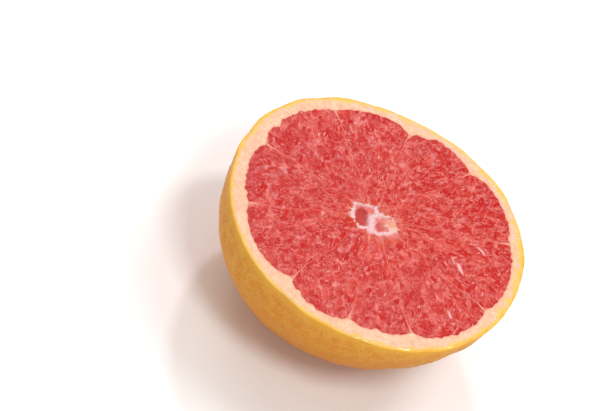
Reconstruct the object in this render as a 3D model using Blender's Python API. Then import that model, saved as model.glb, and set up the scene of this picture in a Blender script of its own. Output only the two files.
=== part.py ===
"""Half of a pomelo with thin pith and red flesh, cut across its segments and lying on its rind.

The shapes are worked out round the middle of the cut face, which is at height 0 while they are made.
Every level below the cut is the cut's own outline, drawn in and moved a little to one side, so the
rind, the white pith and the flesh all follow the same round end. At the end the whole half is lifted
until its flat resting spot is at height 0, with the middle of its outline over the origin.
"""
from math import asin, cos, pi, radians, sin, sqrt, tau

import bmesh
import bpy
from mathutils import Vector

MM = 0.001

# Driving dimensions: the half as a whole
RIM_RADIUS = 56.8 * MM          # middle of the cut face to the skin
DEPTH = 49.5 * MM               # cut face to the tip of the round end, before it is flattened
ROUNDNESS = 1.85                # 2 is an ellipse, less is a little more pointed
LEAN = Vector((-6.0, -4.0)) * MM    # how far the round end lies to one side
FLAT_RISE = 1.2 * MM            # height of the cap that the resting spot takes off the tip
RIM_WAVES = ((3, 0.009, 33), (4, 0.009, 50))    # lobes round the rim, share of radius, crest in degrees

# Layers
SKIN = 1.2 * MM                 # coloured rind
PITH_AT_TIP = 5.0 * MM          # white lining under the flesh at the round end
MEMBRANE = 0.6 * MM             # wall between two segments
GAP = 0.3 * MM                  # clearance between pieces that touch

# Middle of the fruit, where the membranes meet, and the white core round it
HEART = Vector((-2.0, 0.8)) * MM
CORE_SHIFT = Vector((0.9, -2.0)) * MM       # middle of the core from where the membranes meet
CORE_SIZE = Vector((10.0, 7.0)) * MM        # half its length and half its breadth
# Hollows in the core: middle from the heart, half sizes across and down, in mm, and turn in degrees
HOLLOWS = (
    ((-3.5, -2.2), (2.3, 3.8, 6.0), 12),
    ((4.3, -2.3), (2.0, 2.7, 3.0), -20),
)

# One row for each segment, anticlockwise: where its first membrane lies in degrees round the heart,
# how far that membrane runs from the heart, and how far the flesh after it bulges, both in mm
SEGMENTS = (
    (24.8, 52.4, 54.0),
    (61.8, 50.2, 51.6),
    (93.5, 46.0, 49.6),
    (129.7, 48.6, 49.8),
    (173.6, 46.6, 48.6),
    (212.2, 48.2, 51.6),
    (251.9, 48.6, 53.0),
    (280.6, 50.2, 52.0),
    (307.1, 50.8, 53.9),
    (345.3, 51.9, 53.6),
)
CORNER_POWER = 6                # how tightly a segment's outer corners are rounded
FLESH_LEVELS = (0.0, 0.4, 0.7, 0.9)     # shares of the flesh's depth that its walls pass through

# Juice sacs on the cut face of a segment
SAC_RISE = 0.6 * MM
SACS_ACROSS = 5
ROWS_PER_SAC = 4

# Fineness
RIM_SIDES = 64
SKIN_LEVELS = 10
SEGMENT_ROWS = 12               # along a segment, from heart to rind
SEGMENT_COLUMNS = 2 * SACS_ACROSS

RIND_COLOR = "D9973C"
PITH_COLOR = "FBD9B6"
PULP_COLOR = "D6484A"


def srgb(code):
    """Linear colour with alpha from six hex digits."""
    channels = [int(code[i:i + 2], 16) / 255 for i in (0, 2, 4)]
    linear = [c / 12.92 if c <= 0.04045 else ((c + 0.055) / 1.055) ** 2.4 for c in channels]
    return (*linear, 1.0)


def make_material(name, code, roughness):
    material = bpy.data.materials.new(name)
    material.use_nodes = True
    shader = material.node_tree.nodes["Principled BSDF"]
    shader.inputs["Base Color"].default_value = srgb(code)
    shader.inputs["Roughness"].default_value = roughness
    shader.inputs["Metallic"].default_value = 0.0
    material.diffuse_color = srgb(code)
    return material


def make_collection(name):
    collection = bpy.data.collections.new(name)
    bpy.context.scene.collection.children.link(collection)
    return collection


def make_object(name, mesh_builder, collection, material=None):
    """New object from a bmesh, with its faces turned outwards."""
    bmesh.ops.recalc_face_normals(mesh_builder, faces=mesh_builder.faces)
    mesh = bpy.data.meshes.new(name)
    mesh_builder.to_mesh(mesh)
    mesh_builder.free()
    if material:
        mesh.materials.append(material)
    mesh.shade_smooth()
    mesh.set_sharp_from_angle(angle=radians(40))
    obj = bpy.data.objects.new(name, mesh)
    collection.objects.link(obj)
    return obj


# The outline and how it narrows

def rim(angle):
    """Radius of the skin on the cut face: a circle with a few low waves."""
    waves = sum(share * cos(lobes * (angle - radians(crest))) for lobes, share, crest in RIM_WAVES)
    return RIM_RADIUS * (1 + waves)


def narrowing(share_of_depth):
    """How much of a radius is left at a share of the way down to the tip."""
    return (1 - share_of_depth ** ROUNDNESS) ** (1 / ROUNDNESS)


def lean_at(drop):
    return LEAN * (drop / DEPTH)


def skin_ring(drop, inset):
    """Outline at a drop below the cut, drawn in by inset from the skin's outer surface."""
    share = narrowing(drop / (DEPTH - inset))
    middle = lean_at(drop)
    ring = []
    for step in range(RIM_SIDES):
        angle = tau * step / RIM_SIDES
        radius = (rim(angle) - inset) * share
        ring.append(Vector((middle.x + radius * cos(angle), middle.y + radius * sin(angle), -drop)))
    return ring


def skin_rings(inset):
    """Rings from the cut down to the flat of the resting spot."""
    lowest = DEPTH - inset - FLAT_RISE
    last_turn = asin(lowest / (DEPTH - inset))
    drops = [(DEPTH - inset) * sin(last_turn * level / SKIN_LEVELS) for level in range(SKIN_LEVELS + 1)]
    return [skin_ring(drop, inset) for drop in drops]


# Rind and pith

def loft(builder, rings):
    """Closed skin through rings of equal count, with a flat face over the first and the last."""
    rows = [[builder.verts.new(point) for point in ring] for ring in rings]
    count = len(rows[0])
    for upper, lower in zip(rows, rows[1:]):
        for i in range(count):
            j = (i + 1) % count
            builder.faces.new((upper[i], upper[j], lower[j], lower[i]))
    builder.faces.new(rows[0])
    builder.faces.new(rows[-1])


def make_rind(collection):
    """Bowl of skin: up the inside from its floor, over the cut edge and down the outside."""
    builder = bmesh.new()
    loft(builder, skin_rings(SKIN)[::-1] + skin_rings(0.0))
    return make_object("rind", builder, collection, make_material("Rind", RIND_COLOR, 0.42))


def make_pith(collection, cutters):
    """White tissue: a solid round end, less a pocket for each segment and the core's hollows."""
    builder = bmesh.new()
    loft(builder, skin_rings(SKIN + GAP))
    pith = make_object("pith", builder, collection, make_material("Pith", PITH_COLOR, 0.6))
    cut = pith.modifiers.new("Pockets and hollows", "BOOLEAN")
    cut.operation = "DIFFERENCE"
    cut.operand_type = "COLLECTION"
    cut.collection = cutters
    cut.solver = "EXACT"
    return pith


# Segments of flesh

def core_reach(angle):
    """Distance from the heart to the edge of the oval core in one direction."""
    across = Vector((cos(angle) / CORE_SIZE.x, sin(angle) / CORE_SIZE.y))
    offset = Vector((CORE_SHIFT.x / CORE_SIZE.x, CORE_SHIFT.y / CORE_SIZE.y))
    along = across.dot(offset)
    square = across.length_squared
    return (along + sqrt(along ** 2 + square * (1 - offset.length_squared))) / square


def segment_point(number, row_share, side, level, inset):
    """Point of a segment's outline or cut face.

    row_share runs from 0 at the core to 1 at the pith, side from -1 at the segment's first membrane
    to 1 at its second, and level is the share of the flesh's depth. inset keeps the point clear of
    the wall's own surface.
    """
    first, first_reach, bulge = SEGMENTS[number]
    second, second_reach, _ = SEGMENTS[(number + 1) % len(SEGMENTS)]
    half_turn = radians((second - first) % 360) / 2
    middle_turn = radians(first) + half_turn
    share = narrowing(level)
    corner = abs(side) ** CORNER_POWER

    notch = first_reach if side < 0 else second_reach
    outer = (bulge + (notch - bulge) * corner) * MM * share - inset
    edge = core_reach(middle_turn + half_turn * side) * share
    narrowest = (MEMBRANE / 2 + inset) / sin(half_turn * 0.7)
    inner = max(edge * (0.88 + 0.3 * corner) + inset, narrowest)
    radius = inner + (outer - inner) * row_share

    wall_turn = asin((MEMBRANE / 2 + inset) / radius)
    turn = middle_turn + (half_turn - wall_turn) * side
    drop = level * (DEPTH - SKIN - PITH_AT_TIP)
    middle = HEART * share + lean_at(drop)
    return Vector((middle.x + radius * cos(turn), middle.y + radius * sin(turn), -drop))


def outline_steps():
    """Rows and columns met on the way once round a segment's cut face."""
    rows, columns = SEGMENT_ROWS, SEGMENT_COLUMNS
    return ([(0, c) for c in range(columns)] + [(r, columns) for r in range(rows)]
            + [(rows, c) for c in range(columns, 0, -1)] + [(r, 0) for r in range(rows, 0, -1)])


def side_of(column):
    """Place of a column across a segment, from -1 to 1, closer together towards the two membranes."""
    return sin(pi * (column / SEGMENT_COLUMNS - 0.5))


def segment_ring(number, level, inset):
    return [
        segment_point(number, row / SEGMENT_ROWS, side_of(column), level, inset)
        for row, column in outline_steps()
    ]


def sac_height(number, row, column):
    """Juice sacs lie side by side: odd columns stand up, and each sac tapers to its two ends."""
    if column % 2 == 0:
        return 0.0
    start = (3 * column + 2 * number) % ROWS_PER_SAC
    return SAC_RISE * (0.25 + 0.75 * abs(sin(pi * (row + start) / ROWS_PER_SAC)))


def make_segment(number, collection, material):
    """Wedge of flesh: a cut face with sacs raised on it, and walls down to a flat end."""
    builder = bmesh.new()
    grid = {}
    for row in range(SEGMENT_ROWS + 1):
        for column in range(SEGMENT_COLUMNS + 1):
            point = segment_point(number, row / SEGMENT_ROWS, side_of(column), 0.0, GAP)
            if 0 < row < SEGMENT_ROWS and 0 < column < SEGMENT_COLUMNS:
                point.z = sac_height(number, row, column)
            grid[row, column] = builder.verts.new(point)
    for row in range(SEGMENT_ROWS):
        for column in range(SEGMENT_COLUMNS):
            builder.faces.new((grid[row, column], grid[row, column + 1],
                               grid[row + 1, column + 1], grid[row + 1, column]))

    upper = [grid[step] for step in outline_steps()]
    for level in FLESH_LEVELS[1:]:
        lower = [builder.verts.new(point) for point in segment_ring(number, level, GAP)]
        for i in range(len(upper)):
            j = (i + 1) % len(upper)
            builder.faces.new((upper[i], upper[j], lower[j], lower[i]))
        upper = lower
    builder.faces.new(upper)
    return make_object(f"pulp_{number + 1:02d}", builder, collection, material)


# Cutters

def hide_cutter(obj):
    obj.hide_render = True
    obj.display_type = "WIRE"


def make_pocket(number, cutters):
    """The room that one segment takes, standing a little out of the cut and a gap deeper."""
    rings = [segment_ring(number, level, 0.0) for level in FLESH_LEVELS]
    for point in rings[-1]:
        point.z -= GAP
    above = [point + Vector((0, 0, 2 * MM)) for point in rings[0]]
    builder = bmesh.new()
    loft(builder, [above] + rings)
    hide_cutter(make_object(f"pocket_{number + 1:02d}", builder, cutters))


def make_hollow(number, cutters):
    place, size, turn = HOLLOWS[number]
    builder = bmesh.new()
    bmesh.ops.create_uvsphere(builder, u_segments=14, v_segments=8, radius=1.0)
    bmesh.ops.scale(builder, vec=Vector(size) * MM, verts=builder.verts)
    cutter = make_object(f"hollow_{number + 1}", builder, cutters)
    cutter.location = (*(HEART + Vector(place) * MM), 0.2 * MM)
    cutter.rotation_euler.z = radians(turn)
    hide_cutter(cutter)


def set_down(parts, rind):
    """Lift everything so that the resting spot is at height 0 under the middle of the outline."""
    points = [vertex.co for vertex in rind.data.vertices]
    low = Vector([min(point[axis] for point in points) for axis in range(3)])
    high = Vector([max(point[axis] for point in points) for axis in range(3)])
    ground = bpy.data.objects.new("half", None)
    rind.users_collection[0].objects.link(ground)
    ground.location = (-(low.x + high.x) / 2, -(low.y + high.y) / 2, -low.z)
    for obj in parts:
        obj.parent = ground


def main():
    for obj in list(bpy.data.objects):
        bpy.data.objects.remove(obj, do_unlink=True)
    fruit = make_collection("Pomelo half")
    cutters = make_collection("Cutters")

    for number in range(len(SEGMENTS)):
        make_pocket(number, cutters)
    for number in range(len(HOLLOWS)):
        make_hollow(number, cutters)

    rind = make_rind(fruit)
    pith = make_pith(fruit, cutters)
    flesh = make_material("Pulp", PULP_COLOR, 0.3)
    segments = [make_segment(number, fruit, flesh) for number in range(len(SEGMENTS))]
    set_down([rind, pith, *segments, *cutters.objects], rind)


main()
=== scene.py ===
# Half of a pomelo with thin pith and red flesh, lying on its rind with the cut face up.
# The measures are those of the solids. Each piece made here stands in for one solid, with its finish.
# Sizes are millimetres round the middle of the cut face, until addPiece lifts them into the frame.
import functools
import math

import bpy
import numpy as np
from mathutils import Matrix, Vector


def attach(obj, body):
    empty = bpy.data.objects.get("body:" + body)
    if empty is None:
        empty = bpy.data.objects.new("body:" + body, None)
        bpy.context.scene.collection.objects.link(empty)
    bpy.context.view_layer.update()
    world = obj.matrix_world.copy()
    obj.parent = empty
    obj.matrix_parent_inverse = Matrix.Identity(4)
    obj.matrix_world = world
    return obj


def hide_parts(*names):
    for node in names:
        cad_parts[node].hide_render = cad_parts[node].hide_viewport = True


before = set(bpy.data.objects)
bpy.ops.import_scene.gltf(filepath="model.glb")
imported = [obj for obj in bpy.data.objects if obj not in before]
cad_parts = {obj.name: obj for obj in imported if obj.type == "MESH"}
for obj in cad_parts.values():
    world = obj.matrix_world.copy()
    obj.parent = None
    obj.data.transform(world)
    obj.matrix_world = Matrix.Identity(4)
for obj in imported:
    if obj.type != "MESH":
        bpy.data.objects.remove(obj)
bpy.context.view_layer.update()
print("frame loaded")

scene = bpy.context.scene
mm = 0.001
tau = 2 * math.pi

# The fruit's own measures, as the solids have them
half = {
    "rimRadius": 56.8,  # middle of the cut face to the skin
    "depth": 49.5,  # cut face to the tip of the round end
    "roundness": 1.85,  # 2 is an ellipse, less is more pointed
    "lean": (-6.0, -4.0),  # how far the round end lies to one side
    "flatRise": 1.2,  # what the resting spot takes off the tip
    "rimWaves": ((3, 0.009, 33), (4, 0.009, 50)),  # lobes, share of the radius, crest in degrees
    "skin": 1.2,  # coloured rind
    "pithAtTip": 5.0,  # white lining under the flesh at the round end
    "heart": (-2.0, 0.8),  # where the membranes meet
    "coreShift": (0.9, -2.0),  # middle of the core from there
    "coreSize": (10.0, 7.0),  # half its length and breadth
    "levels": (0.0, 0.4, 0.7, 0.9),  # shares of the flesh's depth that its walls pass through
    "cadSides": 64,  # sides and levels of the solid rind, which set where it rests
    "cadLevels": 10,
    # each membrane's direction in degrees and its reach, then the bulge of the flesh after it
    "segments": (
        (24.8, 52.4, 54.0), (61.8, 50.2, 51.6), (93.5, 46.0, 49.6), (129.7, 48.6, 49.8),
        (173.6, 46.6, 48.6), (212.2, 48.2, 51.6), (251.9, 48.6, 53.0), (280.6, 50.2, 52.0),
        (307.1, 50.8, 53.9), (345.3, 51.9, 53.6),
    ),
}

segmentRows = np.array(half["segments"])
firstTurn = np.radians(segmentRows[:, 0])
halfTurn = ((np.roll(firstTurn, -1) - firstTurn) % tau) / 2
heart = np.array(half["heart"])
lean = np.array(half["lean"])


def toLinear(code):
    # linear colour from sRGB hex: c / 12.92 near black, else ((c + 0.055) / 1.055) ^ 2.4
    channels = np.array([int(code[i:i + 2], 16) for i in (0, 2, 4)]) / 255
    linear = np.where(channels <= 0.04045, channels / 12.92, ((channels + 0.055) / 1.055) ** 2.4)
    return (*linear.tolist(), 1.0)


def smoothStep(low, high, value):
    # t^2 (3 - 2t), t the share of the way from low to high, held between 0 and 1
    t = np.clip((value - low) / (high - low), 0, 1)
    return t * t * (3 - 2 * t)


def ripples(seed, count, shortest, longest, *axes):
    # uneven relief of unit spread: the sum of count plane waves cos(k . p + phase), random in direction,
    # length and phase, times sqrt(2 / count)
    draw = np.random.default_rng(seed)
    total = np.zeros(np.broadcast(*axes).shape)
    for _ in range(count):
        direction = draw.normal(size=len(axes))
        direction /= np.linalg.norm(direction)
        step = tau / draw.uniform(shortest, longest)
        total += np.cos(step * sum(a * d for a, d in zip(axes, direction)) + draw.uniform(0, tau))
    return total * math.sqrt(2 / count)


# Outline of the fruit

def rimAt(angle):
    # radius of the cut outline: the rim's, times 1 + the sum of share * cos(lobes * (angle - crest))
    waves = 0
    for lobes, share, crest in half["rimWaves"]:
        waves = waves + share * np.cos(lobes * (angle - math.radians(crest)))
    return half["rimRadius"] * (1 + waves)


def narrowing(share):
    # radius left at a share of the way down: (1 - share^n)^(1/n)
    n = half["roundness"]
    return np.maximum(1 - np.clip(share, 0, 1) ** n, 0) ** (1 / n)


def skinPoint(angle, drop, inset, softness):
    # point of the outline drawn in by inset: (rim - inset) * narrowing round a middle that leans with the
    # drop; its height is -drop, held by a soft minimum at the level of the resting spot
    radius = (rimAt(angle) - inset) * narrowing(drop / (half["depth"] - inset))
    lowest = half["depth"] - inset - half["flatRise"]
    low = 0.5 * (drop + lowest - np.sqrt((drop - lowest) ** 2 + softness ** 2))
    share = drop / half["depth"]
    x = share * lean[0] + radius * np.cos(angle)
    y = share * lean[1] + radius * np.sin(angle)
    return np.stack([x, y, -low + 0 * x], axis=-1)


def findLift():
    # the lift into the frame: the outline is drawn with the solid rind's own sides and levels; the middle
    # of its x and y goes to the origin, its resting spot to 0
    angle = tau * np.arange(half["cadSides"]) / half["cadSides"]
    lowest = half["depth"] - half["flatRise"]
    turns = math.asin(lowest / half["depth"]) * np.arange(half["cadLevels"] + 1) / half["cadLevels"]
    rings = skinPoint(angle[None], half["depth"] * np.sin(turns)[:, None], 0.0, 0.0)
    low = rings.min(axis=(0, 1))
    high = rings.max(axis=(0, 1))
    return np.array([-(low[0] + high[0]) / 2, -(low[1] + high[1]) / 2, lowest])


lift = findLift()
print("lift into the frame, mm:", np.round(lift, 3))

# What the cut shows of the segments beyond the solids: uneven walls and small extra notches
cut = {
    "membrane": 0.3,  # thickness of a membrane where it shows
    "cornerPower": 3.6,  # rounding of a segment's outer corners
    "coreEdge": (0.93, 0.15),  # flesh's inner end, share of the core's edge: middle, extra at corners
    "coreRagged": 0.035,  # unevenness of that end as a share of the core's edge
    "raggedLobes": (7, 49, 3),  # its lobes round the face: fewest, end, step
    "flare": (3.6, 1.7),  # a membrane grows this much wider at its ends, over this length
    "scallop": 0.16,  # unevenness of the flesh's outer edge
    "scallopLobes": (20, 118, 6),
    # extra notches: direction, depth, width in degrees
    "dents": ((161, 1.5, 2.6), (292, 1.3, 2.2), (87.5, 2.4, 3.0), (258, 1.5, 3.2), (221, 1.0, 7.0)),
    "sway": 0.5,  # how far a membrane wanders from its straight line
    "swayLength": 26.0,
    "swayFrom": (8, 18),  # it starts and ends over these distances from the heart
    "swayTo": (53, 44),
    "shortSway": (0.35, 4.7),  # share and rate of its shorter wave
    "yellowSide": 60.0,  # direction in which the yellow of the glands reaches farthest in
    "yellowLean": 0.45,  # and by how much
}


def scallopAt(angle):
    # uneven outer edge of the flesh: a scaled sum of random cosines, less a bell at each dent
    draw = np.random.default_rng(5)
    edge = np.zeros_like(angle)
    for lobes in range(*cut["scallopLobes"]):
        edge += np.cos(lobes * angle + draw.uniform(0, tau)) * draw.uniform(0.5, 1.0)
    edge *= cut["scallop"] / 2
    for place, depth, width in cut["dents"]:
        away = (np.degrees(angle) - place + 180) % 360 - 180
        edge -= depth * np.exp(-(away / width) ** 2)
    return edge


def yellowerAt(angle):
    # how far in the yellow of the glands reaches: 1 + lean * cos(angle - its side)
    return 1 + cut["yellowLean"] * np.cos(angle - math.radians(cut["yellowSide"]))


def raggedAt(angle):
    # uneven inner end of the flesh: random cosines of the angle, of unit spread
    draw = np.random.default_rng(6)
    edge = np.zeros_like(angle)
    lobeCounts = range(*cut["raggedLobes"])
    for lobes in lobeCounts:
        edge += np.cos(lobes * angle + draw.uniform(0, tau)) * draw.uniform(0.6, 1.4)
    return edge / math.sqrt(len(lobeCounts) / 2)


def swayAt(number, radius):
    # sideways wander of one membrane at a radius: a long and a short sine with its own start, faded out
    # towards the core and the rim
    size = cut["sway"] * smoothStep(*cut["swayFrom"], radius) * smoothStep(*cut["swayTo"], radius)
    turns = tau * radius / cut["swayLength"]
    share, rate = cut["shortSway"]
    return size * (np.sin(turns + 2.4 * number) + share * np.sin(turns * rate + 1.7 * number))


def coreReach(angle):
    # distance from the heart to the core's oval edge, by the ellipse's quadratic
    across = np.stack([np.cos(angle) / half["coreSize"][0], np.sin(angle) / half["coreSize"][1]])
    offset = np.array(half["coreShift"]) / np.array(half["coreSize"])
    along = across[0] * offset[0] + across[1] * offset[1]
    square = (across ** 2).sum(axis=0)
    return (along + np.sqrt(along ** 2 + square * (1 - (offset ** 2).sum()))) / square


def segmentPoint(number, rowShare, side, level, inset, wall):
    # point of a segment: radius runs from the core's edge to the outer bulge, which dips to the ends of
    # the membranes by |side|^power; its turn keeps a wall's thickness clear of each membrane
    number, rowShare, side, level, wall = np.broadcast_arrays(number, rowShare, side, level, wall)
    following = (number + 1) % len(segmentRows)
    turn = halfTurn[number]
    middleTurn = firstTurn[number] + turn
    share = narrowing(level)
    corner = np.abs(side) ** cut["cornerPower"]

    notch = np.where(side < 0, segmentRows[number, 1], segmentRows[following, 1])
    bulge = segmentRows[number, 2]
    outer = (bulge + (notch - bulge) * corner + scallopAt(middleTurn + turn * side)) * share - inset
    edge = coreReach(middleTurn + turn * side) * share
    narrowest = (cut["membrane"] / 2 + inset) / np.sin(turn * 0.7)
    ragged = cut["coreRagged"] * raggedAt(middleTurn + turn * side) * (1 - corner)
    innerEnd = cut["coreEdge"][0] + cut["coreEdge"][1] * corner + ragged
    inner = np.maximum(edge * innerEnd + inset, narrowest)
    radius = inner + (outer - inner) * rowShare
    growth, length = cut["flare"]
    wall = wall * (1 + growth * (np.exp((inner - radius) / length) + np.exp((radius - outer) / length)))

    sway = swayAt(number, radius) * (1 - side) / 2 + swayAt(following, radius) * (1 + side) / 2
    angle = middleTurn + (turn - np.arcsin((wall + inset) / radius)) * side + sway / radius
    drop = level * (half["depth"] - half["skin"] - half["pithAtTip"])
    x = heart[0] * share + lean[0] * drop / half["depth"] + radius * np.cos(angle)
    y = heart[1] * share + lean[1] * drop / half["depth"] + radius * np.sin(angle)
    return np.stack([x, y, -drop + 0 * x], axis=-1)


# Meshes

def gridQuads(rows, columns, closed):
    # corners of the quads between the rows of a grid, its last column joined to the first if closed
    index = np.arange(rows * columns).reshape(rows, columns)
    right = np.roll(index, -1, axis=1) if closed else index[:, 1:]
    left = index if closed else index[:, :-1]
    return np.stack([left[:-1], right[:-1], right[1:], left[1:]], axis=-1).reshape(-1, 4)


def addPiece(name, points, triangles, values, material, node):
    # closed mesh from points and triangles: points that meet are made one, and triangles that lose a
    # corner by it are dropped; values are one number or vector for each point; it replaces its solid
    merged, first, member = np.unique(np.round(points, 4), axis=0, return_index=True, return_inverse=True)
    triangles = member.reshape(-1)[triangles]
    whole = (triangles != np.roll(triangles, 1, axis=1)).all(axis=1)
    triangles = triangles[whole]

    mesh = bpy.data.meshes.new(name)
    mesh.vertices.add(len(merged))
    mesh.vertices.foreach_set("co", ((merged + lift) * mm).astype(np.float32).ravel())
    mesh.loops.add(triangles.size)
    mesh.loops.foreach_set("vertex_index", triangles.astype(np.int32).ravel())
    mesh.polygons.add(len(triangles))
    mesh.polygons.foreach_set("loop_start", np.arange(0, triangles.size, 3, dtype=np.int32))
    mesh.polygons.foreach_set("use_smooth", np.ones(len(triangles), dtype=bool))
    mesh.update(calc_edges=True)
    for title, numbers in values.items():
        numbers = np.asarray(numbers, dtype=np.float32)[first]
        if numbers.ndim == 1:
            mesh.attributes.new(title, "FLOAT", "POINT").data.foreach_set("value", numbers)
        else:
            mesh.attributes.new(title, "FLOAT_VECTOR", "POINT").data.foreach_set("vector", numbers.ravel())
    mesh.materials.append(material)

    piece = bpy.data.objects.new(name, mesh)
    scene.collection.objects.link(piece)
    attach(piece, "root")
    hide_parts(node)
    print(name, len(triangles), "triangles")
    return piece


def splitQuads(quads):
    # two triangles for each quad, parted by the line from its first corner to its third
    return np.concatenate([quads[:, [0, 1, 2]], quads[:, [0, 2, 3]]])


def addNode(tree, kind, sockets, out=0, **settings):
    # one node: its settings, then each socket set to a value or linked to an output; gives one output;
    # a socket is its name or number, and a Mix of colours has 0 for the share, 6 and 7 for the colours
    node = tree.nodes.new("ShaderNode" + kind)
    for name, value in settings.items():
        setattr(node, name, value)
    for name, value in sockets.items():
        if isinstance(value, bpy.types.NodeSocket):
            tree.links.new(value, node.inputs[name])
        else:
            node.inputs[name].default_value = value
    return node.outputs[out]


def startMaterial(name, settings):
    # a material with uniform values on its shader's own sockets; gives the adder of its nodes, the object
    # coordinates, and a list with the settings' attributes, then their noises of a length and detail
    material = bpy.data.materials.new(name)
    material.use_nodes = True
    node = functools.partial(addNode, material.node_tree)
    shader = material.node_tree.nodes["Principled BSDF"]
    for title, value in settings["uniform"].items():
        shader.inputs[title].default_value = value
    place = node("TexCoord", {}, "Object")
    read = [node("Attribute", {}, "Fac", attribute_name=title) for title in settings.get("attributes", ())]
    for length, detail, bend in settings["noises"]:
        values = {"Vector": place, "Scale": 1 / (length * mm), "Detail": detail, "Distortion": bend}
        read.append(node("TexNoise", values, "Fac"))
    return material, node, place, read


def finishMaterial(material, node, links, height=None, bump=(0, 0)):
    # links to the shader's sockets, and a height as a bump of a strength and a rise in mm
    if height:
        strength, rise = bump
        values = {"Height": height, "Strength": strength, "Distance": rise * mm}
        links["Normal"] = node("Bump", values, "Normal")
    tree = material.node_tree
    for title, output in links.items():
        tree.links.new(output, tree.nodes["Principled BSDF"].inputs[title])
    return material


def fromTo(numbers):
    # range sockets by number: from low, from high, then to low and to high where they aren't 0 and 1
    return dict(zip((1, 2, 3, 4), numbers))


colors = {"out": 2, "data_type": "RGBA"}  # makes a Mix node mix colours


def layered(node, settings, bottom, layers):
    # one colour of the settings with others laid over it, each by its own share
    color = toLinear(settings[bottom])
    for share, title in layers:
        color = node("Mix", {0: share, 6: color, 7: toLinear(settings[title])}, **colors)
    return color


# Rind

rind = {
    "columns": 640,
    "skinRows": 112,
    "edgeRows": 9,
    "cutRows": 4,
    "innerRows": 12,
    "edgeRound": (1.0, 0.34),  # the skin's edge is bevelled this far in and this far down
    "edgePower": 1.1,  # 2 is a round bevel, 1 a flat one
    "wetPlace": 308.0,  # direction in which juice stands on the edge
    "wetSpread": 24.0,  # and how far it spreads, degrees
    "wetRuns": (3, 9),  # lengths of its runs
    "wax": 0.02,  # share of gloss on the rest of the skin
    "swell": 0.22,  # broad unevenness of the skin, and its length
    "swellLength": (11, 26),
    "swellMiddle": -12.0,  # height of the point that the unevenness runs out from
    "swellFade": (0.95, 0.8),  # shares of the depth over which it fades at the resting spot
    "dimple": 0.035,  # fine unevenness over the oil glands
    "dimpleLength": (1.5, 3.0),
    "cutRelief": 0.03,  # unevenness of the cut edge
    "cutReliefLength": (0.8, 2.0),
    "spotSoftness": 0.5,  # how softly the resting spot turns into the round end
    "scarRadius": 2.6,  # dry scar at the tip
    "scarDepth": 0.45,
    "poreSpacing": 1.0,  # oil glands, middle to middle
    "poreDisorder": 0.85,
    "poreShare": 0.55,
    "glandSpacing": 0.75,  # glands where the knife cut them
    "glandShare": 0.75,
    # painted shade is deeper on one side of the skin; this moves the line between the sides
    "cheekShift": 36,  # how far the broad noise moves the line between two cheeks
    "bump": (0.25, 0.05),  # strength, height
    "attributes": ("onCut", "skinDepth", "scar", "wet"),
    # broad, mottle and grain: length, detail, distortion
    "noises": ((22, 3.0, 0.0), (3.5, 4.0, 0.0), (0.5, 3.0, 0.0)),
    # shares from patterns: from low, from high, to low, to high; low and nearCut go by height, and the
    # side on which the painted shade (low) is deeper goes by x
    "pit": (0.15, 0.55, 1.0, 0.0),
    "patch": (0.35, 0.65),
    "low": (49 * mm, 18 * mm, 0.0, 0.6),
    "cheek": (-37 * mm, 63 * mm, 0.45, 1.3),
    "blush": (0.4, 0.7, 0.0, 0.6),
    "white": (1.15, 2.0),
    "deeper": (0.4, 0.65),
    "nearCut": (44 * mm, 47.8 * mm, 0.0, 0.85),
    "skinColor": "E6A84E",
    "paleColor": "EAAE4C",
    # painted shade: the skin darker and deeper orange towards the round end, where less light falls
    "paintedShadeColor": "A85008",  # deeper orange towards the round end
    "poreColor": "CA721A",
    "blushColor": "DC7E22",
    "cutColor": "F4CC62",
    "cutDeepColor": "ECB044",
    "pithColor": "F4C8A0",
    "scarColor": "8A6238",
    "uniform": {
        "Roughness": 0.45, "Specular IOR Level": 0.03, "Coat Roughness": 0.1, "Coat IOR": 1.7,
        "Subsurface Weight": 0.12, "Subsurface Radius": (1.0, 0.5, 0.15),
        "Subsurface Scale": 1.5 * mm,
    },
}


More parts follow.
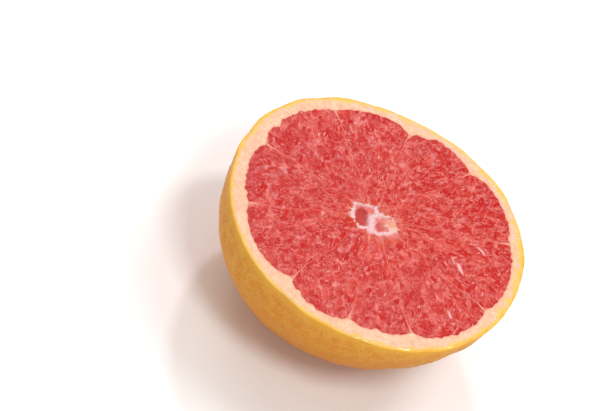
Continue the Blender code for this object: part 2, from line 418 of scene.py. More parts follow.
def rindMaterial():
    # ripe citrus skin: satin, full of shallow pores over darker oil glands, and wet where juice stands;
    # where the knife passed, the glands lie open as a bright yellow edge that breaks up into white pith;
    # its colour has painted shade towards the round end and on one side
    material, node, place, read = startMaterial("waxedCitrusSkin", rind)
    onCut, skinDepth, scar, wet, broad, mottle, grain = read

    poreValues = {"Scale": 1 / (rind["poreSpacing"] * mm), "Randomness": rind["poreDisorder"]}
    pores = node("TexVoronoi", {"Vector": place, **poreValues}, "Distance")
    level = node("SeparateXYZ", {"Vector": place}, "Z")
    pit, patch, low, blush, deeper, nearCut = [
        node("MapRange", {"Value": pattern, **fromTo(rind[title])})
        for title, pattern in (
            ("pit", pores), ("patch", broad), ("low", level), ("blush", mottle), ("deeper", mottle),
            ("nearCut", level),
        )
    ]
    pitShare = node("Math", {0: pit, 1: rind["poreShare"]}, operation="MULTIPLY")
    # painted shade, deeper on one side of the skin as if less light fell there; the broad noise moves
    # the line between the sides, so none shows
    aside = node("SeparateXYZ", {"Vector": place}, "X")
    shift = rind["cheekShift"] * mm
    aside = node("Math", {0: broad, 1: shift, 2: aside}, operation="MULTIPLY_ADD")
    cheek = node("MapRange", {"Value": aside, **fromTo(rind["cheek"])})
    low = node("Math", {0: low, 1: cheek}, operation="MULTIPLY")
    # the skin is yellower near the cut
    base = layered(node, rind, "skinColor", (
        (patch, "paleColor"), (low, "paintedShadeColor"), (blush, "blushColor"),
        (pitShare, "poreColor"), (scar, "scarColor"), (nearCut, "cutDeepColor"),
    ))

    glandScale = 1 / (rind["glandSpacing"] * mm)
    glands = node("TexVoronoi", {"Vector": place, "Scale": glandScale}, "Distance")
    amount = rind["glandShare"]
    ragged = node("Math", {0: glands, 1: amount, 2: skinDepth}, operation="MULTIPLY_ADD")
    white = node("MapRange", {"Value": ragged, **fromTo(rind["white"])})
    edge = layered(node, rind, "cutColor", ((deeper, "cutDeepColor"), (white, "pithColor")))
    color = node("Mix", {0: onCut, 6: base, 7: edge}, **colors)
    height = node("Math", {0: pit, 1: -1.0, 2: grain}, operation="MULTIPLY_ADD")
    return finishMaterial(material, node, {"Base Color": color, "Coat Weight": wet}, height, rind["bump"])


def makeRind():
    # one closed sheet: rows run from the tip up the outside, round the bevelled edge, across the cut and
    # down the inside to the tip; each row has an inset from the skin and a drop below the cut
    edgeIn, edgeDown = rind["edgeRound"]
    climb = np.linspace(0, math.acos(edgeDown / half["depth"]), rind["skinRows"])
    bend = np.linspace(0, math.pi / 2, rind["edgeRows"] + 1)[1:]
    bendIn = edgeIn * (1 - np.maximum(np.cos(bend), 0) ** (2 / rind["edgePower"]))
    bendDown = edgeDown * (1 - np.sin(bend) ** (2 / rind["edgePower"]))
    across = np.linspace(edgeIn, half["skin"], rind["cutRows"] + 1)[1:]
    descent = np.linspace(0, math.pi / 2, rind["innerRows"] + 1)[1:]
    insets = np.concatenate([0 * climb, bendIn, across, half["skin"] + 0 * descent])
    drops = np.concatenate([half["depth"] * np.cos(climb), bendDown, 0 * across,
                            (half["depth"] - half["skin"]) * np.sin(descent)])
    onCut = np.concatenate([0 * climb, np.sin(bend) ** 2, 1 + 0 * across, 1 + 0 * descent])

    angle = tau * np.arange(rind["columns"]) / rind["columns"]
    points = skinPoint(angle[None], drops[:, None], insets[:, None], rind["spotSoftness"])
    x, y, z = np.moveaxis(points, -1, 0)

    # unevenness along the line from a point inside, gone at the resting spot and on the cut
    outside = np.concatenate([1 + 0 * climb, 1 - bend / (math.pi / 2), 0 * across, 0 * descent])
    sideways = smoothStep(*rind["swellFade"], drops / half["depth"])
    uneven = rind["swell"] * ripples(11, 14, *rind["swellLength"], x, y, z)
    uneven += rind["dimple"] * ripples(12, 40, *rind["dimpleLength"], x, y, z)
    outward = points - np.array([0, 0, rind["swellMiddle"]])
    outward /= np.linalg.norm(outward, axis=-1, keepdims=True)
    inward = np.minimum(uneven - 1.5 * rind["swell"], 0)
    points += outward * (inward * (outside * sideways)[:, None])[..., None]

    tip = np.hypot(x - lean[0], y - lean[1])
    below = (outside * (drops > half["depth"] / 2))[:, None]
    scar = below * np.exp(-(tip / rind["scarRadius"]) ** 2)
    points[..., 2] += rind["scarDepth"] * scar
    # faint relief on the cut edge
    arch = np.sin(np.linspace(0, math.pi, len(across)))
    onEdge = np.concatenate([0 * climb, 0 * bend, arch, 0 * descent])[:, None]
    points[..., 2] += rind["cutRelief"] * ripples(13, 16, *rind["cutReliefLength"], x, y) * onEdge

    rows, columns = x.shape
    spread = np.ones((1, columns))
    # juice stands on one stretch of the edge, in short runs
    aside = (np.degrees(angle) - rind["wetPlace"] + 180) % 360 - 180
    runs = ripples(14, 10, *rind["wetRuns"], 56 * angle)
    juicy = np.exp(-(aside / rind["wetSpread"]) ** 2) * smoothStep(-0.8, 0.6, runs)
    values = {
        "onCut": (onCut[:, None] * spread).ravel(),
        "skinDepth": (insets[:, None] / half["skin"] / yellowerAt(angle)[None]).ravel(),
        "scar": scar.ravel(),
        "wet": (rind["wax"] + (1 - rind["wax"]) * onCut[:, None] * juicy[None]).ravel(),
    }
    triangles = splitQuads(gridQuads(rows, columns, True))
    addPiece("rindSkin", points.reshape(-1, 3), triangles, values, rindMaterial(), "rind")


# Pith, membranes and core

pith = {
    "skinGap": 0.02,  # the lining meets the rind
    "domeRows": 18,
    "bandRows": 14,
    "alongRows": 46,
    "coreRows": 30,
    "insideColumns": 72,
    "flatShare": 0.8,  # share of a membrane's top that is flat
    "relief": 0.07,  # fibrous unevenness of the cut pith
    "reliefLength": (0.7, 2.2),
    "coreSink": 0.5,  # how far the core has drawn back below the cut
    "web": 0.12,  # unevenness of its floor
    "webLength": (1.6, 4.0),
    # hollows: middle from the heart, half sizes, depth, turn in degrees, redness of the floor
    "hollows": (
        (-3.9, -2.6, 2.7, 4.3, 1.2, 21, 1.0),
        (3.7, -2.4, 1.7, 2.7, 0.7, -15, 0.6),
    ),
    # white walls of the core: from, to, in mm from the heart, and half the width
    "walls": (
        (-8.6, 2.4, -8.2, -1.7, 1.1), (-8.2, -1.7, -6.5, -6.0, 1.15), (-6.5, -6.0, -4.5, -8.4, 0.85),
        (-8.0, 1.6, -4.3, 3.1, 0.8), (-4.3, 3.1, -1.1, 4.8, 0.6), (-1.3, 4.4, 0.6, 2.2, 1.0),
        (0.6, 2.2, 2.7, 2.7, 1.0), (2.7, 2.7, 5.7, 4.4, 0.6), (1.2, -5.8, -0.6, -0.8, 1.6),
        (-0.6, -0.8, 1.1, 1.6, 1.2), (-4.2, -8.0, 0.0, -6.8, 0.9), (0.1, -7.0, 4.3, -6.2, 1.0),
        (4.3, -6.2, 6.4, -4.6, 0.8), (6.4, -4.6, 8.3, -2.5, 0.9), (5.2, -0.8, 7.2, -1.4, 0.7),
        (7.2, -1.4, 8.6, 0.4, 0.7), (5.7, 4.4, 8.0, 1.8, 0.35), (8.3, -2.4, 10.3, 1.3, 0.8),
    ),
    "spread": 1.02,  # how far the white reaches past those half widths
    "fuzz": 0.22,  # how far their edges are torn
    "fuzzLength": (1.0, 3.0),
    "peach": (7.0, 1.0, 3.2),  # drier mass at one end: middle from the heart, reach
    "pithColor": "EAB38E",
    "warmColor": "E89C7C",
    "lightColor": "F6D2B8",
    "coreColor": "E0BEC0",
    "coreWarmColor": "EBBB97",
    "thinColor": "D66A62",
    "soakColor": "E3907E",
    "juiceColor": "D04C42",
    "hollowColor": "BA3830",
    "yellowColor": "F4C254",
    "toothSpacing": 1.3,  # yellow teeth at the skin
    "toothShare": 1.1,
    "stripRelief": (0.6, 0.06),  # a membrane's top: share of the relief, rise over the cut
    "juiceShown": 0.68,  # share of a membrane's colour that its pale patches take away
    "bump": (0.5, 0.15),  # strength, height
    "attributes": ("skinAway", "fleshAway", "inCore", "juice", "hollow", "white", "peach"),
    # fine, soft and blotch: length, detail, distortion
    "noises": ((0.9, 4.0, 0.0), (7, 3.0, 0.0), (3, 3.0, 0.0)),
    # shares from patterns, as for the rind
    "light": (0.4, 0.68, 0.1, 0.75),
    "warm": (0.45, 0.7, 0.0, 0.55),
    "reach": (0.88, 1.3, 1.0, 3.0),
    "yellow": (0.5, 1.15, 0.9, 0.0),
    "soaked": (0.0, 0.8, 0.85, 0.0),
    "torn": (0.3, 0.55, 0.75, 1.0),
    "uniform": {
        "Roughness": 0.55, "IOR": 1.4, "Subsurface Weight": 0.3,
        "Subsurface Radius": (1.0, 0.6, 0.4), "Subsurface Scale": 1.2 * mm,
    },
}


def pithMaterial():
    # spongy white citrus pith, freshly cut: matt, finely fibrous, peach where juice has soaked in, with
    # yellow specks of the rind's glands at its outer edge and a paler, drier web in the middle
    material, node, place, read = startMaterial("freshCutPith", pith)
    skinAway, fleshAway, inCore, juice, hollow, white, peach, fine, soft, blotch = read
    light, warm, soaked, torn = [
        node("MapRange", {"Value": pattern, **fromTo(pith[title])})
        for title, pattern in (("light", fine), ("warm", blotch), ("soaked", fleshAway), ("torn", fine))
    ]
    # yellow specks near the skin
    speckScale = 1 / (pith["toothSpacing"] * mm)
    specks = node("TexVoronoi", {"Vector": place, "Scale": speckScale}, "Distance")
    amount = pith["toothShare"]
    ragged = node("Math", {0: specks, 1: amount, 2: skinAway}, operation="MULTIPLY_ADD")
    reach = node("Math", {0: soft, 1: blotch}, operation="ADD")
    reach = node("MapRange", {"Value": reach, **fromTo(pith["reach"])})
    ragged = node("Math", {0: ragged, 1: reach}, operation="DIVIDE")
    yellow = node("MapRange", {"Value": ragged, **fromTo(pith["yellow"])})
    color = layered(node, pith, "pithColor", (
        (light, "lightColor"), (warm, "warmColor"), (yellow, "yellowColor"), (soaked, "soakColor"),
    ))

    # core: thin pink tissue, its floor red in the hollows, with white walls in it
    thin = layered(node, pith, "thinColor", ((hollow, "hollowColor"),))
    dry = layered(node, pith, "coreColor", ((peach, "coreWarmColor"),))
    torn = node("Math", {0: torn, 1: white}, operation="MULTIPLY")
    core = node("Mix", {0: torn, 6: thin, 7: dry}, **colors)
    for share, over in ((inCore, core), (juice, toLinear(pith["juiceColor"]))):
        color = node("Mix", {0: share, 6: color, 7: over}, **colors)
    return finishMaterial(material, node, {"Base Color": color}, fine, pith["bump"])


def pithColumns():
    # columns once round: for each segment its first membrane's middle, the end of its flat top and its
    # edge, the wall at each level, the pocket's floor, the wall up again and the second membrane's edge
    levels = np.array(half["levels"][1:])
    deepest = levels[-1]
    floor = np.sin(math.pi * (np.arange(1, pith["insideColumns"]) / pith["insideColumns"] - 0.5))
    side = np.concatenate([[-1, -1, -1], -1 + 0 * levels, floor, 1 + 0 * levels, [1, 1]])
    level = np.concatenate([[0, 0, 0], levels, deepest + 0 * floor, levels[::-1], [0, 0]])
    wall = np.full(len(side), cut["membrane"] / 2)
    wall[0] = 0.0
    wall[[1, -1]] *= pith["flatShare"]
    count = len(segmentRows)
    return (np.repeat(np.arange(count), len(side)), np.tile(side, count), np.tile(level, count),
            np.tile(wall, count))


def coreRelief(x, y):
    # height of the core: a shallow dish with random ridges, less a bowl for each hollow, then up to the
    # cut again where a wall runs, by exp(-(distance to its line / half width)^3); also the shares of red,
    # white and peach
    dx = x - heart[0]
    dy = y - heart[1]
    height = -pith["coreSink"] + pith["web"] * ripples(31, 18, *pith["webLength"], x, y)
    red = np.zeros_like(x)
    for away, up, wide, long, depth, turn, redness in pith["hollows"]:
        c, s = math.cos(math.radians(turn)), math.sin(math.radians(turn))
        along = (dy - up) * c - (dx - away) * s
        across = (dx - away) * c + (dy - up) * s
        reach = np.hypot(across / wide, along / long)
        height = height - depth * smoothStep(1.2, 0.3, reach)
        red = np.maximum(red, redness * smoothStep(1.2, 0.8, reach))
    white = np.zeros_like(x)
    tear = pith["fuzz"] * ripples(33, 24, *pith["fuzzLength"], x, y)
    for startX, startY, endX, endY, width in pith["walls"]:
        runX, runY = endX - startX, endY - startY
        share = ((dx - startX) * runX + (dy - startY) * runY) / (runX ** 2 + runY ** 2)
        share = np.clip(share, 0, 1)
        apart = np.hypot(dx - startX - share * runX, dy - startY - share * runY) + tear
        white = np.maximum(white, np.exp(-(np.maximum(apart, 0) / width / pith["spread"]) ** 3))
    height = height * (1 - 0.7 * white)
    middleX, middleY, span = pith["peach"]
    peach = np.exp(-((dx - middleX) ** 2 + (dy - middleY) ** 2) / span ** 2)
    return height, red, np.maximum(white, 0.6 * peach), peach


def makePith():
    # one closed sheet: rows run from the tip up the outside to the cut, in across the pith to the flesh,
    # down each pocket's outer wall, along its floor, up its inner wall and in over the core to the heart
    number, side, deepest, wall = pithColumns()
    walls = np.linspace(0, 1, len(half["levels"]))[1:]
    inset = half["skin"] + pith["skinGap"]

    outline = segmentPoint(number, 1.0, side, 0.0, 0.0, wall)
    centre = segmentPoint(number, 0.0, side, 0.0, 0.0, wall)
    angle = np.arctan2(outline[:, 1], outline[:, 0])
    turns = np.linspace(0, math.pi / 2, pith["domeRows"])
    drops = (half["depth"] - inset) * np.cos(turns)
    dome = skinPoint(angle[None], drops[:, None], inset, rind["spotSoftness"])

    inward = np.linspace(0, 1, pith["bandRows"] + 1)[1:, None, None]
    band = dome[-1] + (outline - dome[-1]) * inward
    outerWall = segmentPoint(number, 1.0, side, deepest * walls[:, None], 0.0, wall)
    along = np.linspace(1, 0, pith["alongRows"] + 1)[1:, None]
    floor = segmentPoint(number, along, side, deepest, 0.0, wall)
    innerWall = segmentPoint(number, 0.0, side, deepest * walls[-2::-1, None], 0.0, wall)
    middle = np.array([*heart, 0.0])
    centring = np.linspace(0, 1, pith["coreRows"] + 1)[1:, None, None]
    core = centre + (middle - centre) * centring

    parts = [dome, band, outerWall, floor, innerWall, centre[None], core]
    points = np.concatenate(parts)
    ends = np.cumsum([len(part) for part in parts])
    rows = len(points)
    row = np.arange(rows)[:, None] * np.ones((1, len(side)))
    x, y, z = np.moveaxis(points, -1, 0)
    onTop = z > -1e-6

    inBand = (row >= ends[0]) & (row < ends[1])
    inCore = row >= ends[4]
    strip = (deepest[None] == 0) & (row >= ends[1]) & (row < ends[4])
    direction = np.arctan2(y, x)
    skinAway = np.where(inBand, (rimAt(direction) - np.hypot(x, y) - inset) / yellowerAt(direction), 9.0)
    skinAway[ends[0] - 1] = 0.0
    shareIn = np.zeros((rows, len(side)))
    shareIn[ends[0]:ends[1]] = inward[:, :, 0]
    bandWidth = np.linalg.norm(outline - dome[-1], axis=-1)
    fleshAway = np.where(inBand, (1 - shareIn) * bandWidth, 9.0)
    fleshAway[ends[4]] = 0.0
    rim = np.linalg.norm(points[..., :2] - centre[None, :, :2], axis=-1)
    atCorner = smoothStep(0.5, 0.9, np.abs(side))
    fleshAway = np.where(inCore, rim * (1 - atCorner) + 9 * atCorner, fleshAway)

    relief = pith["relief"] * ripples(21, 30, *pith["reliefLength"], x, y)
    lower, hollow, white, peach = coreRelief(x, y)
    height = np.where(inBand, relief * smoothStep(0, 0.6, skinAway) * smoothStep(0, 0.4, fleshAway), 0)
    height = np.where(strip, pith["stripRelief"][0] * relief + pith["stripRelief"][1], height)
    height = np.where(inCore, (lower + relief) * smoothStep(0, 1.0, rim) - 0.02, height)
    points[..., 2] += np.where(onTop, height, 0)

    # a membrane is white at its two ends, and pale in patches between them
    fromHeart = np.hypot(x - heart[0], y - heart[1])
    pastEnd = fromHeart - segmentRows[number, 1]
    pastCore = fromHeart - coreReach(np.arctan2(y - heart[1], x - heart[0]))
    pale = 0.6 * smoothStep(-13.0, -2.0, pastEnd) + 0.4 * smoothStep(-2.2, 0.0, pastEnd)
    pale += 0.6 * smoothStep(3.2, 0.2, pastCore)
    pale += 0.35 * smoothStep(0.4, 1.6, ripples(22, 12, 4, 14, x, y))
    fleshAway = np.where(strip, 0.25 + 0.35 * smoothStep(-3.0, 0.0, pastEnd), fleshAway)
    nearCore = np.where(strip, smoothStep(3.0, 0.5, pastCore), 0.0)
    values = {
        "skinAway": skinAway.ravel(),
        "fleshAway": fleshAway.ravel(),
        "inCore": np.where(inCore, 1.0, nearCore).ravel(),
        "juice": np.where(strip, 1 - np.clip(pale, 0, 1) * pith["juiceShown"], 0.0).ravel(),
        "hollow": np.where(inCore, hollow, 0.0).ravel(),
        "white": np.where(inCore, white, 0.6).ravel(),
        "peach": np.where(inCore, peach, 0.5).ravel(),
    }
    triangles = splitQuads(gridQuads(rows, len(side), True))
    addPiece("pithBody", points.reshape(-1, 3), triangles, values, pithMaterial(), "pith")


# Flesh

sacs = {
    "rows": 148,  # along a segment
    "columns": 148,  # across it
    "clearance": 0.02,  # between the flesh and its membranes
    "seeds": 1350,  # sacs cut open, over the whole face
    "halfWidth": 1.15,  # of a sac
    "halfLength": 3.0,
    "steepness": 0.8,  # how far the sacs turn from the radius towards one direction
    "disorder": 30,  # spread of their directions, degrees
    "rise": 0.34,  # height of a sac over the seams
    "seamWidth": 0.3,  # of the seam between two sacs, as a share of their reach
    "plate": 0.45,  # how much of the height falls off at the seam
    "dome": 0.4,  # and how much is a dome
    "fineRelief": 0.05,
    "fineLength": (0.8, 1.8),
    "sliverRise": 0.2,
    "edgeDrop": 0.02,  # the flesh is rounded down to its membranes
    "edgeWidth": 0.55,
    "edgeRound": 0.7,  # the sacs grow flat over this distance from them
    "rimReach": 3.0,  # how far the rim's and the core's tints run in
    "coreReach": 1.7,
    # torn sacs open as pale slivers: place on the face, length, breadth, turn in degrees, strength
    "slivers": (
        (33.8, -0.8, 5.2, 1.2, -46, 1.0), (30.2, 1.1, 3.6, 0.8, -50, 0.5),
        (-44.1, -4.9, 3.0, 1.6, 60, 0.35), (-37.7, -2.2, 4.6, 1.6, -41, 0.3),
        (37.8, -23.4, 3.4, 0.9, -51, 0.8), (37.9, 12.4, 3.9, 0.8, -27, 0.8),
    ),
    "deepColor": "B91006",
    "fleshColor": "BC2018",
    "milkColor": "CE4A3E",
    "veilColor": "E07A70",
    # pale flecks: torn skins, and painted glints and sparkle of the wet juice
    "fleckAndGlintColor": "EFBCBC",
    # pale lines: bends and seams of the skins, and partly painted reflections on them
    "lineAndReflectionColor": "EC9E98",
    "coreColor": "DC6E4C",
    "rimColor": "B81E1C",
    "rimShare": 0.1,
    "bump": (0.5, 0.26),  # strength, height
    "sparkleShare": 0.3,
    "beadSpacing": 0.8,
    "toneShares": (1.3, 1.75),  # how much the broad and the middle mottling add to a sac's tone
    "attributes": ("tone", "seam", "rim", "core", "sliver"),
    # broad, mottle, fine, calm and sparkle: length, detail, distortion
    "noises": ((9, 3.0, 0.0), (3.2, 4.0, 0.6), (1.1, 3.0, 0.0), (6, 2.0, 0.0), (0.5, 1.0, 0.0)),
    # fibres and bends: scale along and across a sac, offset, detail, distortion
    "strands": (
        ((0.26, 0.7, 1.0), (0.0, 0.0, 0.0), 3.0, 1.0), ((0.16, 0.42, 1.0), (3.0, 5.0, 0.0), 2.0, 1.6),
    ),
    "fleckScale": (0.36, 1.6, 1.0),
    # shares from patterns, as for the rind
    "shallow": (1.55, 2.05),
    "milky": (2.05, 2.6, 0.0, 0.9),
    "calm": (0.42, 0.58, 0.3, 1.0),
    "zone": (0.36, 0.6, 0.15, 1.0),
    "veil": (0.5, 0.7),
    "line": (0.003, 0.022, 1.0, 0.0),
    "shownLine": (0.42, 0.6, 0.1, 0.8),
    "shownSeam": (0.42, 0.62, 0.0, 0.5),
    "spot": (0.08, 0.36, 1.0, 0.0),
    "picked": (0.62, 0.97, 0.0, 0.85),
    "bead": (0.12, 0.4, 1.0, 0.0),
    "shownBead": (0.76, 0.98, 0.0, 0.5),
    "bare": (0.3, 0.6, 0.65, 1.0),
    "threads": (0.4, 0.6, 0.15, 0.7),
    "uniform": {
        "Roughness": 0.22, "IOR": 1.33, "Specular IOR Level": 0.08, "Coat Weight": 0.28,
        "Coat Roughness": 0.06, "Subsurface Weight": 0.15, "Subsurface Radius": (1.0, 0.25, 0.2),
        "Subsurface Scale": 1.0 * mm,
    },
}


def pulpMaterial():
    # juice sacs of ripe flesh, cut wet: clear red gel in thin skins, so each sac has its own depth of red;
    # torn skins lie over it as milky patches and thin pale lines, and the juice gives small sharp lights;
    # some flecks, beads and lines are painted glints and reflections
    material, node, place, read = startMaterial("wetJuiceSacs", sacs)
    tone, seam, rim, core, sliver, broad, mottle, fine, calm, sparkle = read
    # inSac is in millimetres: strands are long along the sac and narrow across it
    inSac = node("Attribute", {}, "Vector", attribute_name="inSac")
    strands = []
    for scale, offset, detail, bend in sacs["strands"]:
        along = node("Mapping", {"Vector": inSac, "Scale": scale, "Location": offset})
        values = {"Vector": along, "Scale": 1.0, "Detail": detail, "Distortion": bend}
        strands.append(node("TexNoise", values, "Fac"))
    fibres, bends = strands
    fleckPlace = node("Mapping", {"Vector": inSac, "Scale": sacs["fleckScale"]})

    # depth of red: the sac's own tone with broad and middle mottling
    depth = tone
    for pattern, amount in zip((broad, mottle), sacs["toneShares"]):
        depth = node("Math", {0: pattern, 1: amount, 2: depth}, operation="MULTIPLY_ADD")
    offLine = node("Math", {0: bends, 1: 0.5}, operation="SUBTRACT")
    offLine = node("Math", {0: offLine}, operation="ABSOLUTE")
    shares = {
        title: node("MapRange", {"Value": pattern, **fromTo(sacs[title])})
        for title, pattern in (
            ("shallow", depth), ("milky", depth), ("calm", calm), ("zone", mottle), ("veil", fibres),
            ("line", offLine), ("shownLine", fine), ("shownSeam", mottle), ("bare", fine),
            ("threads", fine),
        )
    }
    # flecks are torn skins and painted glints of the wet juice, beads tiny torn ends and painted sparkle:
    # each cell of a pattern has a spot in its middle, which a colour drawn for the cell picks or leaves
    # out
    for where, scale, spot, channel, picked in (
        (fleckPlace, 1.0, "spot", "Red", "picked"),
        (place, 1 / (sacs["beadSpacing"] * mm), "bead", "Green", "shownBead"),
    ):
        away = node("TexVoronoi", {"Vector": where, "Scale": scale}, "Distance")
        cell = node("TexVoronoi", {"Vector": where, "Scale": scale}, "Color")
        cell = node("SeparateColor", {"Color": cell}, channel)
        shares[spot] = node("MapRange", {"Value": away, **fromTo(sacs[spot])})
        shares[picked] = node("MapRange", {"Value": cell, **fromTo(sacs[picked])})

    # veils are fibres where the mottling is pale and not calm; lines are bends of the skins and seams of
    # the sacs in patches, and partly painted reflections on the wet skins; pale threads run out of the
    # core into the flesh
    shares.update(seam=seam, core=core, sliver=sliver)
    for title, factor in (
        ("veil", "zone"), ("veil", "calm"), ("line", "shownLine"), ("seam", "shownSeam"),
        ("spot", "picked"), ("bead", "shownBead"), ("bare", "sliver"), ("threads", "core"),
    ):
        shares[title] = node("Math", {0: shares[title], 1: shares[factor]}, operation="MULTIPLY")
    for title, other in (("line", "seam"), ("spot", "bead")):
        shares[title] = node("Math", {0: shares[title], 1: shares[other]}, operation="MAXIMUM")
    shares["rim"] = node("Math", {0: rim, 1: sacs["rimShare"]}, operation="MULTIPLY")
    color = layered(node, sacs, "deepColor", [(shares[title], over) for title, over in (
        ("shallow", "fleshColor"), ("milky", "milkColor"), ("veil", "veilColor"), ("line", "lineAndReflectionColor"),
        ("spot", "fleckAndGlintColor"), ("bare", "fleckAndGlintColor"), ("threads", "coreColor"), ("rim", "rimColor"),
    )])
    height = node("Math", {0: fibres, 1: fine}, operation="ADD")
    amount = sacs["sparkleShare"]
    height = node("Math", {0: sparkle, 1: amount, 2: height}, operation="MULTIPLY_ADD")
    return finishMaterial(material, node, {"Base Color": color}, height, sacs["bump"])


def sacSeeds():
    # places of the sacs, drawn evenly over the face, and their directions: the radius turned towards
    # the long way of the face by adding doubled-angle vectors, with a random spread
    draw = np.random.default_rng(7)
    reach = half["rimRadius"]
    place = draw.uniform(-reach, reach, size=(sacs["seeds"], 2))
    radial = np.arctan2(place[:, 1] - heart[1], place[:, 0] - heart[0])
    turn = 0.5 * np.arctan2(np.sin(2 * radial), np.cos(2 * radial) - sacs["steepness"])
    turn += np.radians(sacs["disorder"]) * draw.normal(size=len(turn))
    size = draw.uniform(0.7, 1.5, size=len(turn))
    return place, turn, size, draw.uniform(0, 1, size=(len(turn), 2))


def sacField(x, y, seeds):
    # the two sacs nearest to each point, by hypot(along / half length, across / half width): gives the
    # nearest one's number, both distances, and the point's place along and across that sac
    place, turn, size, _ = seeds
    near = (place[:, 0] > x.min() - 6) & (place[:, 0] < x.max() + 6)
    near &= (place[:, 1] > y.min() - 6) & (place[:, 1] < y.max() + 6)
    chosen = np.nonzero(near)[0]
    dx = x[:, None] - place[chosen, 0]
    dy = y[:, None] - place[chosen, 1]
    along = (dx * np.cos(turn[chosen]) + dy * np.sin(turn[chosen])) / size[chosen]
    across = (dy * np.cos(turn[chosen]) - dx * np.sin(turn[chosen])) / size[chosen]
    reach = np.hypot(along / sacs["halfLength"], across / sacs["halfWidth"])
    order = np.argpartition(reach, 1, axis=1)[:, :2]
    pair = np.take_along_axis(reach, order, axis=1)
    every = np.arange(len(x))
    nearest = order[every, pair.argmin(axis=1)]
    pair.sort(axis=1)
    return chosen[nearest], pair[:, 0], pair[:, 1], along[every, nearest], across[every, nearest]


def sliverAt(x, y):
    # share of a pale sliver: strength * exp(-(along / half length)^4 - (across / half breadth)^4), with
    # the breadth less towards one end; where slivers meet, the largest
    share = np.zeros_like(x)
    for placeX, placeY, length, breadth, turn, strength in sacs["slivers"]:
        c, s = math.cos(math.radians(turn)), math.sin(math.radians(turn))
        along = ((x - placeX) * c + (y - placeY) * s) / (length / 2)
        across = ((y - placeY) * c - (x - placeX) * s) / (breadth / 2) / (1.05 - 0.25 * along)
        share = np.maximum(share, strength * np.exp(-along ** 4 - across ** 4))
    return share


def makeSegment(number, seeds, material):
    # wedge of flesh: a grid over the cut face, raised into sacs, with walls down through the levels of
    # the pocket and a flat end drawn together to a point
    rows, columns = sacs["rows"], sacs["columns"]
    inset = sacs["clearance"]
    wall = cut["membrane"] / 2
    side = np.sin(math.pi * (np.arange(columns) / (columns - 1) - 0.5) * 0.8) / math.sin(math.pi * 0.4)
    share = np.linspace(0, 1, rows)[:, None]
    top = segmentPoint(number, share, side[None], 0.0, inset, wall)
    x, y = top[..., 0].ravel(), top[..., 1].ravel()

    sac, nearest, second, along, across = sacField(x, y, seeds)
    draws = seeds[3][sac]
    seam = 1 - smoothStep(0.0, sacs["seamWidth"], second - nearest)
    dome = np.clip(1 - nearest ** 2, -0.5, 1)
    form = sacs["plate"] * (1 - seam) + sacs["dome"] * dome
    height = sacs["rise"] * form * (0.45 + 0.9 * draws[:, 0])
    height += sacs["fineRelief"] * ripples(41, 24, *sacs["fineLength"], x, y)
    sliver = sliverAt(x, y)
    height += sacs["sliverRise"] * sliver

    span = np.linalg.norm(top[-1] - top[0], axis=-1)[None]
    ends = np.minimum(share, 1 - share) * span
    radius = np.hypot(top[..., 0] - heart[0], top[..., 1] - heart[1])
    sides = radius * halfTurn[number] * (1 - np.abs(side[None]))
    edge = np.minimum(ends, sides).ravel()
    height *= 1 - np.exp(-edge / sacs["edgeRound"])
    height -= sacs["edgeDrop"] * np.exp(-(edge / sacs["edgeWidth"]) ** 2)
    top = top.reshape(-1, 3)
    top[:, 2] += height

    index = np.arange(rows * columns).reshape(rows, columns)
    loop = np.concatenate([index[0, :-1], index[:-1, -1], index[-1, :0:-1], index[:0:-1, 0]])
    loopShare = (loop // columns) / (rows - 1)
    loopSide = side[loop % columns]
    levels = half["levels"][1:]
    rings = [segmentPoint(number, loopShare, loopSide, level, inset, wall) for level in levels]
    end = rings[-1].mean(axis=0)
    points = np.concatenate([top, *rings, end[None]])

    # grid order is outward along rows and anticlockwise along columns, so the quads are turned over
    triangles = [splitQuads(gridQuads(rows, columns, False)[:, ::-1])]
    upper = loop
    for ring in range(len(rings)):
        lower = rows * columns + ring * len(loop) + np.arange(len(loop))
        quads = np.stack([upper, np.roll(upper, -1), np.roll(lower, -1), lower], axis=-1)
        triangles.append(splitQuads(quads))
        upper = lower
    last = np.full(len(loop), len(points) - 1)
    triangles.append(np.stack([upper, np.roll(upper, -1), last], axis=-1))

    rest = len(points) - len(top)
    outer = np.exp(-((1 - share) * span / sacs["rimReach"])).ravel()
    inner = np.exp(-(share * span / sacs["coreReach"])).ravel()
    values = {
        title: np.concatenate([shown, np.full(rest, below)])
        for title, shown, below in (
            ("tone", draws[:, 1], 0.4), ("seam", seam, 0.0), ("rim", outer, 0.0), ("core", inner, 0.0),
            ("sliver", sliver, 0.0),
        )
    }
    # the number of the sac sets its patterns apart from those of its neighbours
    values["inSac"] = np.concatenate([np.stack([along, across, sac * 7.3], axis=-1), points[len(top):]])
    name = f"{number + 1:02d}"
    triangles = np.concatenate(triangles)
    addPiece("pulpFlesh_" + name, points, triangles, values, material, "pulp_" + name)


# Floor, light and camera

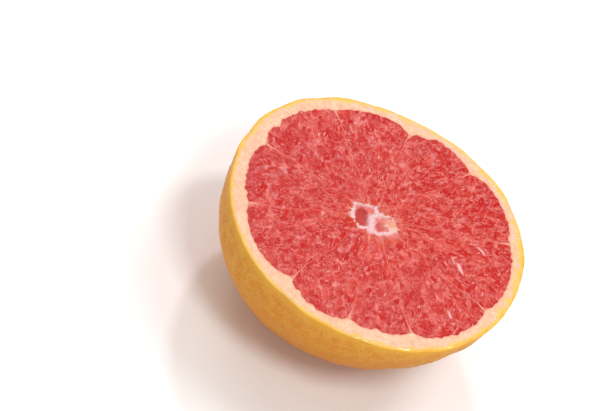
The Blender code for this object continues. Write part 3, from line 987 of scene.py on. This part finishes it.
studio = {
    "floorSize": 4.0,
    "floorColor": "F8FAFC",
    "noises": ((60, 2.0, 0.0),),  # unevenness of the paper: length, detail, distortion
    "grain": (0.0, 1.0, 0.97, 1.0),
    # a faint glow stands for light scattered in the lit paper, which keeps the shadow pale and warm
    "uniform": {
        "Roughness": 0.8, "Specular IOR Level": 0.2, "Emission Color": toLinear("FFC6AA"),
        "Emission Strength": 0.06,
    },
    "skyColor": "FFFEFC",
    "skyStrength": 0.405,
    # lights: place in metres, side of the lamp, watts, colour; all face one point inside the half
    "lampTarget": (0, 0, 0.03),
    "lamps": {
        "keyWindow": ((-0.42, 0.3, 0.62), 0.35, 0.85, "FFFDFA"),
        "overheadLeft": ((0.24, 0.21, 1.15), 0.18, 1.4, "FFFDFA"),
        "overheadMiddle": ((0.39, 0.34, 1.15), 0.18, 1.6, "FFFDFA"),
        "overheadRight": ((0.54, 0.5, 1.15), 0.18, 1.6, "FFFDFA"),
        "glintLamp": ((-0.25, 0.75, 0.95), 0.12, 3.6, "FFF6FF"),
        "frontBox": ((0.24, -0.42, 0.86), 0.25, 3.5, "FFFDFA"),
    },
}

view = {
    "elevation": 45.32,  # of the camera over the cut face, degrees
    "roll": 29.94,
    "distance": 1000.0,
    "lens": 168.5,
    "sensor": 36,
    "target": (0.77, 1.26, 48.3),  # point of the frame seen at the pixel below
    "targetPixel": (380.74, 220.2),
    "picture": (600, 411),
}


def makeStudio():
    # plain pale floor under soft light from all round, with square lamps; the paper is even, matt and
    # near white
    material, node, _, [grain] = startMaterial("mattWhitePaper", studio)
    tint = node("MapRange", {"Value": grain, **fromTo(studio["grain"])})
    values = {0: 1.0, 6: toLinear(studio["floorColor"]), 7: tint}
    color = node("Mix", values, blend_type="MULTIPLY", **colors)
    finishMaterial(material, node, {"Base Color": color})
    reach = studio["floorSize"] / 2
    mesh = bpy.data.meshes.new("floor")
    corners = [(-reach, -reach, 0), (reach, -reach, 0), (reach, reach, 0), (-reach, reach, 0)]
    mesh.from_pydata(corners, [], [(0, 1, 2, 3)])
    mesh.materials.append(material)
    floor = bpy.data.objects.new("floor", mesh)
    scene.collection.objects.link(floor)

    world = bpy.data.worlds.new("studioTent")
    scene.world = world
    world.use_nodes = True
    background = world.node_tree.nodes["Background"]
    background.inputs["Color"].default_value = toLinear(studio["skyColor"])
    background.inputs["Strength"].default_value = studio["skyStrength"]

    middle = Vector(studio["lampTarget"])
    for name, (place, size, power, code) in studio["lamps"].items():
        light = bpy.data.lights.new(name, "AREA")
        light.size = size
        light.energy = power
        light.color = toLinear(code)[:3]
        lamp = bpy.data.objects.new(name, light)
        lamp.location = place
        lamp.rotation_euler = (middle - Vector(place)).to_track_quat("-Z", "Y").to_euler()
        scene.collection.objects.link(lamp)


def makeCamera():
    # the camera looks down on the cut face at its elevation and is rolled; it stands off so that the
    # target is seen at its own pixel with no shift of the lens
    up = math.radians(view["elevation"])
    roll = math.radians(view["roll"])
    back = Vector((0, -math.cos(up), math.sin(up)))
    level = Vector((1, 0, 0))
    rise = back.cross(level)
    right = math.cos(roll) * level + math.sin(roll) * rise
    upward = math.cos(roll) * rise - math.sin(roll) * level
    width, height = view["picture"]
    # size of a pixel at the target, mm
    pixel = view["sensor"] / width / view["lens"] * view["distance"]
    asideX = (view["targetPixel"][0] - width / 2) * pixel
    asideY = (height / 2 - view["targetPixel"][1]) * pixel
    place = (Vector(view["target"]) + view["distance"] * back - asideX * right - asideY * upward) * mm
    camera = bpy.data.objects.new("camera", bpy.data.cameras.new("camera"))
    camera.data.lens = view["lens"]
    camera.data.sensor_width = view["sensor"]
    camera.data.clip_end = 50
    turned = Matrix((right, upward, back)).transposed().to_4x4()
    camera.matrix_world = Matrix.Translation(place) @ turned
    scene.collection.objects.link(camera)
    scene.camera = camera


makeCamera()
makeStudio()
print("camera, floor and lights placed")
makeRind()
makePith()
seeds = sacSeeds()
flesh = pulpMaterial()
for number in range(len(segmentRows)):
    makeSegment(number, seeds, flesh)
scene.view_settings.view_transform = "Standard"
